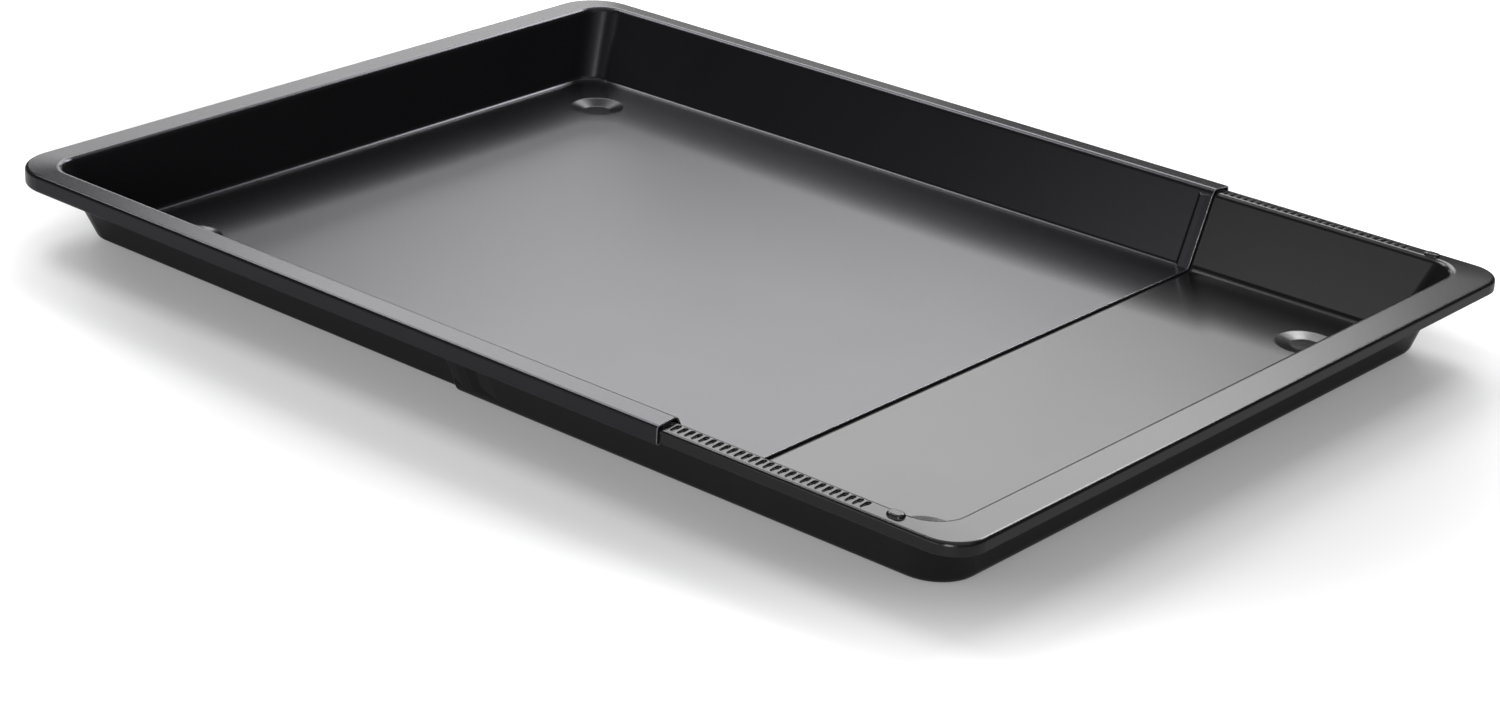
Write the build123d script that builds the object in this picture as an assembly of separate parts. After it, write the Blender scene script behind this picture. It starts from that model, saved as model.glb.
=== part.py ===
from build123d import *
import math
import os

# Extendable baking tray: two pans pressed from thin steel sheet, one sliding over the other.
# Millimetres, +Z up, +X towards the sliding half. The origin is under the middle of the tray
# as it stands part way open, on the surface that its feet stand on.

# Overall sizes, over the rim
rest_length = 458.0
tray_width = 332.0
tray_height = 32.0

# The sheet, and how far every cutting shape runs past what it cuts
sheet = 0.6
overrun = 5.0

# Lengths of the two halves: the sliding half shows this much past the fixed one
exposed_length = 121.2
sliding_length = 232.8

# Clearances between the halves, each measured square to the sheet
floor_gap = 0.4
wall_gap = 0.8
rim_gap = 0.8
rim_edge_gap = 0.4
lip_gap = 0.4

# Insets from the outer edge of the rim to the upper and lower corners of the walls
side_rim = 10.1
end_rim = 14.4
side_floor_inset = 23.2
fixed_end_floor_inset = 20.6
sliding_end_floor_inset = 19.2

# The rim falls this much from its crest to its outer edge, then turns down into a skirt,
# which on the fixed half curls in under the sliding half's skirt
crest_rise = 0.8
fixed_skirt = 6.9
lip_width = 2.4

# The rim's slope is drawn on past the crest, to this share of its width, before the hollow is cut
crown_share = 1.25

# Corner radii seen from above
fixed_rim_radius = 19.3
fixed_crest_radius = 11.5
fixed_floor_radius = 11.0
sliding_rim_radius = 12.8
sliding_crest_radius = 11.0
sliding_floor_radius = 16.0

# Bends of the sheet: on the inside of the floor's corner, and on the outside of the others
fixed_floor_bend = 2.2
sliding_floor_bend = 4.0
fixed_crest_bend = 2.6
sliding_crest_bend = 2.4
rim_bend = 1.4
lip_bend = 1.2

# Pressed feet, each a flat-bottomed dish
foot_end_inset = 50.8
foot_side_inset = 50.8
foot_top_radius = 11.3
foot_flat_radius = 5.6
foot_bend = 1.0
sliding_foot_depth = 1.0

# Bead pressed in from each side wall at the fixed half's open edge, measured back from the edge,
# where its slope ends
bead_start = 5.9
bead_ramp = 1.2
bead_depth = 0.8
bead_slope = 2.5
bead_end_depth = 0.1

# Groove and tucked edge pressed in from each side wall near the sliding half's open edge
groove_depth = 0.5
groove_near = 9.3
groove_bottom = 13.8
groove_far = 21.0
tuck_length = 4.3
tuck_depth = 0.4
boss_fade = 3.0

# Row of catch slots pressed into the sliding half's side rims, deepest beside the crest
slot_pitch = 3.0
first_slot = 39.8
slot_from_crest = 1.5
slot_length = 4.8
slot_width = 1.9
slot_near_depth = 0.75
slot_far_depth = 0.35
slot_wall = 0.4

# Rounded stop pressed up from each side rim, which the fixed half's edge meets when the tray is closed
stop_from_end = 31.8
stop_length = 6.4
stop_width = 4.4
stop_height = 1.1
stop_bend = 1.0
stop_from_crest = 3.1

# Sizes that follow from the ones above
fixed_length = rest_length - exposed_length
slot_reach = sliding_length - groove_far - slot_width - first_slot
slot_count = 1 + int(slot_reach / slot_pitch)
half_width = tray_width / 2
sliding_floor_top = sliding_foot_depth + sheet
fixed_floor_top = sliding_floor_top + floor_gap + sheet
fixed_foot_depth = fixed_floor_top - sheet
fixed_rim_edge = tray_height - crest_rise
rim_slope = crest_rise / side_rim
side_lean = (side_floor_inset - side_rim) / (tray_height - fixed_floor_top)
fixed_lip_top = fixed_rim_edge - fixed_skirt + sheet

# The sliding half nests in the fixed one: its rim runs in the channel, its walls outside the walls
nesting = (sheet + wall_gap) * math.hypot(1, side_lean)
sliding_half_width = half_width - sheet - rim_edge_gap
sliding_rim_edge = fixed_rim_edge - sheet - rim_gap
sliding_skirt = sliding_rim_edge - fixed_lip_top - lip_gap
wall_at_fixed_floor = half_width - side_floor_inset + nesting
wall_at_rim_edge = wall_at_fixed_floor + (sliding_rim_edge - fixed_floor_top) * side_lean
wall_at_floor = wall_at_fixed_floor + (sliding_floor_top - fixed_floor_top) * side_lean
sliding_side_rim = (sliding_half_width - wall_at_rim_edge) / (1 + rim_slope * side_lean)
sliding_crest = sliding_rim_edge + rim_slope * sliding_side_rim
sliding_side_floor_inset = sliding_half_width - wall_at_floor


def round_level(shape, level, radius):
    """Rounds the edges that lie at one level."""
    slack = sheet / 100
    return fillet(shape.edges().filter_by_position(Axis.Z, level - slack, level + slack), radius)


def round_lowest(shape, radius):
    """Rounds the lowest edges of a shape."""
    return fillet(shape.edges().group_by(Axis.Z)[0], radius)


def round_circle(shape, centre, radius, bend):
    """Rounds one circular edge."""
    slack = sheet / 100
    circles = shape.edges().filter_by(GeomType.CIRCLE)
    near = [edge for edge in circles if (edge.arc_center - centre).length < slack]
    return fillet([edge for edge in near if abs(edge.radius - radius) < slack], bend)


def ruled_block(lower, upper):
    """The solid between two level faces of like outline, with flat sides and ruled corners."""
    sides = []
    for low, high in zip(lower.edges(), upper.edges()):
        if low.geom_type == GeomType.LINE:
            sides.append(make_face(Polyline(low @ 0, low @ 1, high @ 1, high @ 0, close=True)).face())
        else:
            sides.append(Face.make_surface_from_curves(low, high))
    return Solid(Shell([lower.face(), upper.face()] + sides))


def both_sides(shapes):
    """The shapes made at the +y side, and their mirror images at the other side."""
    return shapes + [mirror(shape, about=Plane.XZ) for shape in shapes]


class Pan:
    """One half in its own frame: its closed end is at x = 0 and it opens towards +x."""

    def __init__(self, length, half_width, crest, floor, rims, insets, radii, bends, skirt, lip):
        self.length = length
        self.full_length = length + 3 * radii[0]
        self.half_width = half_width
        self.crest = crest
        self.floor = floor
        self.end_rim, self.side_rim = rims
        self.end_inset, self.side_inset = insets
        self.rim_radius, self.crest_radius, self.floor_radius = radii
        self.floor_bend, self.crest_bend = bends
        self.lip = lip
        self.rim_edge = crest - rim_slope * self.side_rim
        self.skirt_bottom = self.rim_edge - skirt
        self.end_lean = (self.end_inset - self.end_rim) / (crest - floor)
        self.side_lean = (self.side_inset - self.side_rim) / (crest - floor)
        self.wall_height = (crest - floor) * math.hypot(1, self.side_lean)

    def ring(self, end_inset, side_inset, radius, level):
        """A level face with rounded corners, inset from the outer edge of the rim.

        It is closed at both ends: the far end lies past the opening, where it is cut off."""
        length = self.full_length - 2 * end_inset
        width = 2 * (self.half_width - side_inset)
        return Pos(self.full_length / 2, 0, level) * RectangleRounded(length, width, radius)

    def block(self, inset, low, high):
        """An upright block inside the rim's outline, inset all round."""
        face = self.ring(inset, inset, self.rim_radius - inset, low)
        return extrude(face, amount=high - low, dir=(0, 0, 1))

    def crowned_block(self, inset, drop, low):
        """The same block under the rim's slope, which goes on rising a little past the crest."""
        edge = self.ring(inset, inset, self.rim_radius - inset, self.rim_edge - drop)
        top = self.ring(
            self.end_rim * crown_share,
            self.side_rim * crown_share,
            self.rim_radius + (self.crest_radius - self.rim_radius) * crown_share,
            self.rim_edge + (self.crest - self.rim_edge) * crown_share - drop,
        )
        return self.block(inset, low, self.rim_edge - drop) + ruled_block(edge, top)

    def cap(self):
        """The rim with its skirt and, where there is one, the lip curled in under it."""
        top = self.crowned_block(0, 0, self.skirt_bottom)
        top = round_level(top, self.rim_edge, rim_bend)
        under_bottom = self.skirt_bottom - overrun
        if self.lip:
            top = round_lowest(top, lip_bend)
            under_bottom = self.skirt_bottom + sheet
        under = self.crowned_block(sheet, sheet, under_bottom)
        under = round_level(under, self.rim_edge - sheet, rim_bend - sheet)
        if self.lip:
            under = round_lowest(under, lip_bend - sheet)
            under += self.block(self.lip, self.skirt_bottom - overrun, self.rim_edge - sheet)
        return top - under

    def hollow(self, grown):
        """The space inside the walls, going on above the rim, or that space grown by the sheet."""
        low = self.floor - grown
        high = self.crest + crest_rise
        rings = []
        for level in (low, high):
            end_inset = self.end_inset - (level - self.floor) * self.end_lean
            side_inset = self.side_inset - (level - self.floor) * self.side_lean
            end_inset -= grown * math.hypot(1, self.end_lean)
            side_inset -= grown * math.hypot(1, self.side_lean)
            height_share = (level - self.floor) / (self.crest - self.floor)
            radius = self.floor_radius + (self.crest_radius - self.floor_radius) * height_share + grown
            rings.append(self.ring(end_inset, side_inset, radius, level))
        return round_lowest(ruled_block(*rings), self.floor_bend + grown)

    def shell(self):
        """Floor, walls, rim and skirt in one sheet, not yet cut off at the open end."""
        cap = self.cap()
        outside = self.hollow(sheet) & self.crowned_block(0, 0, -overrun)
        body = cap + outside
        under_crest = new_edges(cap, outside, combined=body)
        body = fillet(under_crest, self.crest_bend - sheet)
        hollow = self.hollow(0)
        open_body = body - hollow
        return fillet(new_edges(body, hollow, combined=open_body), self.crest_bend)

    def cut_open(self, body):
        """Cuts the sheet off at the open end."""
        keep = Box(2 * self.length, 2 * tray_width, 2 * tray_height)
        return body & keep

    def wall_plane(self):
        """On the inner face of the wall at +y: x along the pan from its open edge, y up, z inwards."""
        origin = (self.length, self.half_width - self.side_inset, self.floor)
        return Plane(origin=origin, x_dir=(1, 0, 0), z_dir=(0, -1, self.side_lean))

    def rim_plane(self):
        """On the side rim at +y: x along the pan from its closed end, y outwards from the crest, z up."""
        origin = (0, self.half_width - self.side_rim, self.crest)
        return Plane(origin=origin, x_dir=(1, 0, 0), z_dir=(0, rim_slope, 1))

    def wall_boss(self, outline, depth, fade):
        """A ridge on the wall at +y with this outline along the pan.

        It stops short of the crest's bend. It fades out before the floor's, or runs into it with no fade.
        Returned as what to add to the sheet and what to take away from its other face."""
        base = -sheet / 2
        low = self.floor_bend if fade else base
        high = self.wall_height - self.crest_bend
        start = outline[0][0]
        finish = outline[-1][0]
        section = Polyline([(start, base)] + outline + [(finish, base)], close=True)
        along = extrude(Plane.XZ * make_face(section), amount=self.wall_height, dir=(0, 1, 0))
        fades = [(low, 0), (low + fade, depth), (high - fade, depth), (high, 0)]
        if not fade:
            fades = [(low, depth), (high - depth, depth), (high, 0)]
        section = Polyline([(low, base)] + fades + [(high, base)], close=True)
        upright = extrude(Plane.YZ * make_face(section), amount=self.length, both=True)
        boss = along & upright
        front = self.wall_plane().location * boss
        back = self.wall_plane().location * Pos(0, 0, -sheet) * boss
        return front, back

    def press_foot(self, body, y, depth):
        """Presses a flat-bottomed dish down from the floor."""
        slope = math.atan2(depth, foot_top_radius - foot_flat_radius)
        spread = sheet * math.tan(slope / 2)
        hang = (Align.CENTER, Align.CENTER, Align.MAX)
        inner = Cone(foot_flat_radius, foot_top_radius, depth, align=hang)
        outer = Cone(foot_flat_radius + spread, foot_top_radius + spread, depth, align=hang)
        body += Pos(foot_end_inset, y, self.floor - sheet) * outer
        body -= Pos(foot_end_inset, y, self.floor) * inner
        circles = [
            (self.floor, foot_top_radius, foot_bend + sheet),
            (self.floor - sheet, foot_top_radius + spread, foot_bend),
            (self.floor - depth, foot_flat_radius, foot_bend),
            (self.floor - depth - sheet, foot_flat_radius + spread, foot_bend + sheet),
        ]
        for level, radius, bend in circles:
            body = round_circle(body, Vector(foot_end_inset, y, level), radius, bend)
        return body

    def press_feet(self, body, depth):
        """The two feet near the closed end."""
        for y in (self.half_width - foot_side_inset, foot_side_inset - self.half_width):
            body = self.press_foot(body, y, depth)
        return body


def press(body, bosses):
    """Adds each boss to one face of the sheet and takes it away from the other face."""
    body += both_sides([added for added, removed in bosses])
    body -= both_sides([removed for added, removed in bosses])
    return body


def main_tray():
    """The fixed half: its rim wraps round the sliding half's rim."""
    pan = Pan(
        length=fixed_length,
        half_width=half_width,
        crest=tray_height,
        floor=fixed_floor_top,
        rims=(end_rim, side_rim),
        insets=(fixed_end_floor_inset, side_floor_inset),
        radii=(fixed_rim_radius, fixed_crest_radius, fixed_floor_radius),
        bends=(fixed_floor_bend, fixed_crest_bend),
        skirt=fixed_skirt,
        lip=lip_width,
    )
    bead = [
        (-bead_start, 0),
        (-bead_start + bead_ramp, bead_depth),
        (-bead_slope, bead_depth),
        (0, bead_end_depth),
        (overrun, bead_end_depth),
    ]
    body = press(pan.shell(), [pan.wall_boss(bead, bead_depth, fade=0)])
    body = pan.press_feet(body, fixed_foot_depth)
    return Pos(-rest_length / 2, 0, 0) * pan.cut_open(body)


def catch_slots(pan):
    """The row of slots in the side rim at +y, as what to add under the rim and what to cut from it."""
    fall = (slot_near_depth - slot_far_depth) / slot_length
    near = slot_from_crest
    far = near + slot_length
    base = sheet / 2
    wedge = [(near, base), (near, -slot_near_depth), (far, -slot_far_depth), (far, base)]
    pit = extrude(Plane.YZ * make_face(Polyline(wedge, close=True)), amount=slot_width / 2, both=True)
    plan = Pos(0, near + slot_length / 2) * SlotOverall(slot_length, slot_width, rotation=90)
    pit &= extrude(plan, amount=slot_length, both=True)
    near -= slot_wall
    far += slot_wall
    under_near = -sheet - slot_near_depth - fall * slot_wall
    under_far = -sheet - slot_far_depth + fall * slot_wall
    wedge = [(near, -base), (near, under_near), (far, under_far), (far, -base)]
    bump = extrude(
        Plane.YZ * make_face(Polyline(wedge, close=True)), amount=slot_width / 2 + slot_wall, both=True
    )
    pits = []
    bumps = []
    for count in range(slot_count):
        place = pan.rim_plane().location * Pos(first_slot + count * slot_pitch, 0, 0)
        pits.append(place * pit)
        bumps.append(place * bump)
    return bumps, pits


def stop_pad(inset, depth):
    """A rounded pad as high as the stop, inset all round, going down to a depth below the rim's top."""
    outline = SlotOverall(stop_length - 2 * inset, stop_width - 2 * inset)
    pad = Pos(0, 0, -depth) * extrude(outline, amount=depth + stop_height - inset)
    return fillet(pad.edges().group_by(Axis.Z)[-1], stop_bend - inset)


def stop(pan):
    """The stop on the side rim at +y, as what to add on the rim and what to hollow out below it."""
    place = pan.rim_plane().location * Pos(stop_from_end - stop_length / 2, stop_from_crest, 0)
    return place * stop_pad(0, sheet / 2), place * stop_pad(sheet, overrun)


def sliding_tray():
    """The sliding half, turned to face the fixed one."""
    pan = Pan(
        length=sliding_length,
        half_width=sliding_half_width,
        crest=sliding_crest,
        floor=sliding_floor_top,
        rims=(end_rim, sliding_side_rim),
        insets=(sliding_end_floor_inset, sliding_side_floor_inset),
        radii=(sliding_rim_radius, sliding_crest_radius, sliding_floor_radius),
        bends=(sliding_floor_bend, sliding_crest_bend),
        skirt=sliding_skirt,
        lip=0,
    )
    groove = [(-groove_far, 0), (-groove_bottom, groove_depth), (-groove_near, 0)]
    tuck = [(-tuck_length, 0), (0, tuck_depth), (overrun, tuck_depth)]
    bosses = [
        pan.wall_boss(groove, groove_depth, fade=boss_fade),
        pan.wall_boss(tuck, tuck_depth, fade=boss_fade),
    ]
    body = press(pan.shell(), bosses)
    body = pan.cut_open(pan.press_feet(body, sliding_foot_depth))
    bumps, pits = catch_slots(pan)
    stop_outside, stop_inside = stop(pan)
    body += both_sides(bumps + [stop_outside])
    body -= both_sides(pits + [stop_inside])
    return Pos(rest_length / 2, 0, 0) * Rot(0, 0, 180) * body


def build():
    os.makedirs("parts", exist_ok=True)
    export_step(main_tray(), "parts/main_tray.step")
    export_step(sliding_tray(), "parts/sliding_tray.step")


build()
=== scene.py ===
import bpy
import math
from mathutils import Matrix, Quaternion, Vector


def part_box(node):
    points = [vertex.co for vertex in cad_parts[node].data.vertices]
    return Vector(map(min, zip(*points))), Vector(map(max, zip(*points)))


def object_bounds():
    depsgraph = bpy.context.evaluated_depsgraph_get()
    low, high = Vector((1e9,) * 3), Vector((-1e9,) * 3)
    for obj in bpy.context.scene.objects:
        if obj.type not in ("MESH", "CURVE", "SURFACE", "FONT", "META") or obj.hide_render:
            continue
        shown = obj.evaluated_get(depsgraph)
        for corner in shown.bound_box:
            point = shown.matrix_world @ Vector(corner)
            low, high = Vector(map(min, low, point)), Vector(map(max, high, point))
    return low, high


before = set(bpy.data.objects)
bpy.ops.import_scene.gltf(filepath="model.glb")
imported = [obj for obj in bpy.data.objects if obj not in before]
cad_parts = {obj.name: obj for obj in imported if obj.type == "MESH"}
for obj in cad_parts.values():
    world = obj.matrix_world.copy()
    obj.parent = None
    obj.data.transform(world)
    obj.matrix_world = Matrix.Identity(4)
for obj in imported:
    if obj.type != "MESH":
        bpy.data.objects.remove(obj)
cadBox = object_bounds()
print("frame loaded", sorted(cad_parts))

white = (1, 1, 1, 1)

# Camera, fitted to the photograph: metres, degrees and millimetres of a 36 mm wide sensor
cameraSetup = {
    "place": (0.7535, -0.9093, 0.4740),
    "turn": (66.989, -1.562, 43.310),
    "lens": 80.667,
    "shiftX": 0.12,
    "clipEnd": 50,
}

# Soft panels, all aimed at the origin, under the tray's middle. A heading of 0 is over +Y, and it
# grows towards -X. Heading, height, spread and roll are angles seen from there, in degrees, and glow
# is how bright a panel's surface is.
lampSetup = {
    "distance": 2.5,
    "panels": {
        "backPanel": {
            "shape": "ELLIPSE", "heading": 39, "height": 34.2, "spread": (38, 28), "roll": 8, "glow": 4.25,
        },
        "horizonPanel": {
            "shape": "RECTANGLE", "heading": 53, "height": 12, "spread": (20, 13), "roll": 0, "glow": 1.9,
        },
        "lowPanel": {
            "shape": "RECTANGLE", "heading": 38, "height": 7, "spread": (10, 9), "roll": 0, "glow": 0.8,
        },
        "leftPanel": {
            "shape": "RECTANGLE", "heading": 84, "height": 50, "spread": (20, 20), "roll": 0, "glow": 8.0,
        },
        "rightPanel": {
            "shape": "RECTANGLE", "heading": 7, "height": 43, "spread": (22, 12), "roll": 0, "glow": 13.0,
        },
        "wallPanel": {
            "shape": "RECTANGLE", "heading": 168, "height": 16, "spread": (40, 20), "roll": 0, "glow": 1.8,
        },
        "cornerPanel": {
            "shape": "ELLIPSE", "heading": -147, "height": 18, "spread": (20, 28), "roll": 0, "glow": 9.0,
        },
        "fillPanel": {
            "shape": "RECTANGLE", "heading": -118, "height": 46, "spread": (60, 30), "roll": 0, "glow": 0.6,
        },
        "overheadPanel": {
            "shape": "RECTANGLE", "heading": 42, "height": 86, "spread": (60, 50), "roll": 0, "glow": 0.7,
        },
    },
    "world": 0.06,
    "seenWorld": 1.0,
}

# Floor, which is seen glowing: painted light, faint near the tray and strong away from it, so that it
# turns white far off and leaves a painted shade around the tray. The glow's fade is measured in half
# lengths and half widths of the tray from its middle. Seen directly, the floor is also whiter than what it
# throws back.
floorSetup = {
    "size": 12.0,
    "colour": 0.50,
    "seenColour": 0.60,
    "paintedGlowStart": 1.15,
    "paintedGlowEnd": 1.7,
    "nearPaintedGlow": 0.18,
    "farPaintedGlow": 0.75,
    "roughness": 0.6,
}

# Satin black non-stick coating, a little worn along its edges. Sizes are in metres. Each half has its
# own place in the noise and its own tint of highlight, tuned by sampled hues.
coatSetup = {
    "colour": (0.0060, 0.0060, 0.0066, 1.0),
    "wear": (0.0085, 0.0085, 0.0092, 1.0),
    "bareMetal": (0.42, 0.42, 0.43, 1.0),
    "roughness": (0.21, 0.24),
    "bareRoughness": 0.38,
    "ior": 1.45,
    "fixedTint": (0.88, 0.87, 1.0, 1.0),
    "slidingTint": (1.0, 0.97, 0.98, 1.0),
    "fixedOffset": (0, 0, 0),
    "slidingOffset": (3, 1, 2),
    "noiseDetail": 2,
    "grainSize": 0.0007,
    "grainDepth": 0.000006,
    "grainStrength": 0.3,
    "cloudSize": 0.045,
    "edgeRadius": 0.00045,
    "edgeSamples": 6,
    "edgeStart": 0.10,
    "edgeFull": 0.30,
    "edgeShare": 0.35,
    "cutWidth": 0.00012,
    "cutShare": 0.9,
}


def addPanel(name, setup):
    distance = lampSetup["distance"]
    heading, height = math.radians(setup["heading"]), math.radians(setup["height"])
    level = math.cos(height)
    place = Vector((-math.sin(heading) * level, math.cos(heading) * level, math.sin(height))) * distance
    bpy.ops.object.light_add(type="AREA", location=place)
    lamp = bpy.context.object
    lamp.name = name
    lamp.data.shape = setup["shape"]
    wide, tall = [2 * distance * math.tan(math.radians(spread / 2)) for spread in setup["spread"]]
    lamp.data.size, lamp.data.size_y = wide, tall
    area = wide * tall
    if setup["shape"] == "ELLIPSE":
        area *= math.pi / 4
    lamp.data.energy = math.pi * area * setup["glow"]
    roll = Quaternion((0, 0, 1), math.radians(setup["roll"]))
    lamp.rotation_euler = ((-place).to_track_quat("-Z", "Y") @ roll).to_euler()


def addCamera():
    bpy.ops.object.camera_add(location=cameraSetup["place"])
    camera = bpy.context.object
    camera.name = "photoCamera"
    camera.rotation_euler = [math.radians(angle) for angle in cameraSetup["turn"]]
    camera.data.lens = cameraSetup["lens"]
    camera.data.shift_x = cameraSetup["shiftX"]
    camera.data.clip_end = cameraSetup["clipEnd"]
    bpy.context.scene.camera = camera


def newMaterial(name):
    material = bpy.data.materials.new(name)
    material.use_nodes = True
    nodes = material.node_tree.nodes
    return material, nodes, material.node_tree.links, nodes["Principled BSDF"]


def addNoise(nodes, links, mapping, size):
    noise = nodes.new("ShaderNodeTexNoise")
    noise.inputs["Scale"].default_value = 1 / size
    noise.inputs["Detail"].default_value = coatSetup["noiseDetail"]
    links.new(mapping.outputs["Vector"], noise.inputs["Vector"])
    return noise.outputs["Fac"]


def addEdgeWear(nodes, links, rounded):
    # How worn the coat is, from how far the rounded normal leans away from the face's own
    surface = nodes.new("ShaderNodeNewGeometry")
    lean = nodes.new("ShaderNodeVectorMath")
    lean.operation = "DOT_PRODUCT"
    links.new(rounded.outputs["Normal"], lean.inputs[0])
    links.new(surface.outputs["Normal"], lean.inputs[1])
    edge = nodes.new("ShaderNodeMapRange")
    edge.inputs["From Min"].default_value = 1 - coatSetup["edgeStart"]
    edge.inputs["From Max"].default_value = 1 - coatSetup["edgeFull"]
    edge.inputs["To Max"].default_value = coatSetup["edgeShare"]
    links.new(lean.outputs["Value"], edge.inputs["Value"])
    return edge.outputs["Result"]


def addCutEdge(nodes, links, where, openEdge):
    # The edge at the open end is taken as cut after coating, and so bare
    apart = nodes.new("ShaderNodeSeparateXYZ")
    links.new(where.outputs["Object"], apart.inputs["Vector"])
    cut = nodes.new("ShaderNodeMath")
    cut.operation = "COMPARE"
    cut.inputs[1].default_value = openEdge
    cut.inputs[2].default_value = coatSetup["cutWidth"]
    links.new(apart.outputs["X"], cut.inputs[0])
    share = nodes.new("ShaderNodeMath")
    share.operation = "MULTIPLY"
    share.inputs[1].default_value = coatSetup["cutShare"]
    links.new(cut.outputs["Value"], share.inputs[0])
    return share.outputs["Value"]


def makeCoating(name, offset, tint, openEdge):
    material, nodes, links, shader = newMaterial(name)
    shader.inputs["IOR"].default_value = coatSetup["ior"]
    shader.inputs["Specular Tint"].default_value = tint

    where = nodes.new("ShaderNodeTexCoord")
    mapping = nodes.new("ShaderNodeMapping")
    mapping.inputs["Location"].default_value = offset
    links.new(where.outputs["Object"], mapping.inputs["Vector"])

    # Faint unevenness of the coat, in tone and in gloss
    cloud = addNoise(nodes, links, mapping, coatSetup["cloudSize"])
    tone = nodes.new("ShaderNodeMix")
    tone.data_type = "RGBA"
    tone.inputs["A"].default_value = coatSetup["colour"]
    tone.inputs["B"].default_value = coatSetup["wear"]
    links.new(cloud, tone.inputs["Factor"])
    gloss = nodes.new("ShaderNodeMapRange")
    gloss.inputs["To Min"].default_value, gloss.inputs["To Max"].default_value = coatSetup["roughness"]
    links.new(cloud, gloss.inputs["Value"])

    rounded = nodes.new("ShaderNodeBevel")
    rounded.samples = coatSetup["edgeSamples"]
    rounded.inputs["Radius"].default_value = coatSetup["edgeRadius"]
    worn = nodes.new("ShaderNodeMath")
    worn.operation = "MAXIMUM"
    links.new(addEdgeWear(nodes, links, rounded), worn.inputs[0])
    links.new(addCutEdge(nodes, links, where, openEdge), worn.inputs[1])

    bare = nodes.new("ShaderNodeMix")
    bare.data_type = "RGBA"
    bare.inputs["B"].default_value = coatSetup["bareMetal"]
    links.new(worn.outputs["Value"], bare.inputs["Factor"])
    links.new(tone.outputs["Result"], bare.inputs["A"])
    links.new(bare.outputs["Result"], shader.inputs["Base Color"])
    links.new(worn.outputs["Value"], shader.inputs["Metallic"])

    rough = nodes.new("ShaderNodeMix")
    rough.inputs["B"].default_value = coatSetup["bareRoughness"]
    links.new(worn.outputs["Value"], rough.inputs["Factor"])
    links.new(gloss.outputs["Result"], rough.inputs["A"])
    links.new(rough.outputs["Result"], shader.inputs["Roughness"])

    # Fine orange peel over the rounded edges
    bump = nodes.new("ShaderNodeBump")
    bump.inputs["Strength"].default_value = coatSetup["grainStrength"]
    bump.inputs["Distance"].default_value = coatSetup["grainDepth"]
    links.new(addNoise(nodes, links, mapping, coatSetup["grainSize"]), bump.inputs["Height"])
    links.new(rounded.outputs["Normal"], bump.inputs["Normal"])
    links.new(bump.outputs["Normal"], shader.inputs["Normal"])
    return material


def makeFloor():
    bpy.ops.mesh.primitive_plane_add(size=floorSetup["size"], location=(0, 0, 0))
    floor = bpy.context.object
    floor.name = "studioFloor"
    material, nodes, links, shader = newMaterial("studioFloor")
    shader.inputs["Roughness"].default_value = floorSetup["roughness"]
    rays = nodes.new("ShaderNodeLightPath")
    colour = nodes.new("ShaderNodeMix")
    colour.data_type = "RGBA"
    colour.inputs["A"].default_value = [floorSetup["colour"]] * 3 + [1]
    colour.inputs["B"].default_value = [floorSetup["seenColour"]] * 3 + [1]
    links.new(rays.outputs["Is Camera Ray"], colour.inputs["Factor"])
    links.new(colour.outputs["Result"], shader.inputs["Base Color"])

    # Painted light: seen directly, the floor glows, faintly near the tray and strongly away from it, which
    # leaves a painted shade around the tray
    where = nodes.new("ShaderNodeTexCoord")
    mapping = nodes.new("ShaderNodeMapping")
    mapping.inputs["Scale"].default_value = [1 / high for high in cadBox[1]]
    links.new(where.outputs["Object"], mapping.inputs["Vector"])
    far = nodes.new("ShaderNodeVectorMath")
    far.operation = "LENGTH"
    links.new(mapping.outputs["Vector"], far.inputs[0])
    paintedGlowFade = nodes.new("ShaderNodeMapRange")
    paintedGlowFade.interpolation_type = "SMOOTHSTEP"
    paintedGlowFade.inputs["From Min"].default_value = floorSetup["paintedGlowStart"]
    paintedGlowFade.inputs["From Max"].default_value = floorSetup["paintedGlowEnd"]
    paintedGlowFade.inputs["To Min"].default_value = floorSetup["nearPaintedGlow"]
    paintedGlowFade.inputs["To Max"].default_value = floorSetup["farPaintedGlow"]
    links.new(far.outputs["Value"], paintedGlowFade.inputs["Value"])
    paintedGlow = nodes.new("ShaderNodeMath")
    paintedGlow.operation = "MULTIPLY"
    links.new(paintedGlowFade.outputs["Result"], paintedGlow.inputs[1])
    links.new(rays.outputs["Is Camera Ray"], paintedGlow.inputs[0])
    shader.inputs["Emission Color"].default_value = white
    links.new(paintedGlow.outputs["Value"], shader.inputs["Emission Strength"])
    floor.data.materials.append(material)


def makeWorld():
    world = bpy.data.worlds.new("studio")
    world.use_nodes = True
    bpy.context.scene.world = world
    nodes = world.node_tree.nodes
    links = world.node_tree.links
    rays = nodes.new("ShaderNodeLightPath")
    strength = nodes.new("ShaderNodeMix")
    strength.inputs["A"].default_value = lampSetup["world"]
    strength.inputs["B"].default_value = lampSetup["seenWorld"]
    links.new(rays.outputs["Is Camera Ray"], strength.inputs["Factor"])
    background = nodes["Background"]
    background.inputs["Color"].default_value = white
    links.new(strength.outputs["Result"], background.inputs["Strength"])


addCamera()
makeWorld()
makeFloor()
for name, setup in lampSetup["panels"].items():
    addPanel(name, setup)
print("studio ready")

# The fixed half ends openly at its highest X, and the sliding half at its lowest
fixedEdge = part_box("main_tray")[1][0]
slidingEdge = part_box("sliding_tray")[0][0]
coatings = {
    "main_tray": makeCoating(
        "fixedHalfCoating", coatSetup["fixedOffset"], coatSetup["fixedTint"], fixedEdge
    ),
    "sliding_tray": makeCoating(
        "slidingHalfCoating", coatSetup["slidingOffset"], coatSetup["slidingTint"], slidingEdge
    ),
}
for name, material in coatings.items():
    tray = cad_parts[name]
    for place in range(len(tray.material_slots)):
        tray.material_slots[place].material = material
print("coatings on")

bpy.context.scene.view_settings.view_transform = "Standard"
bpy.context.view_layer.update()
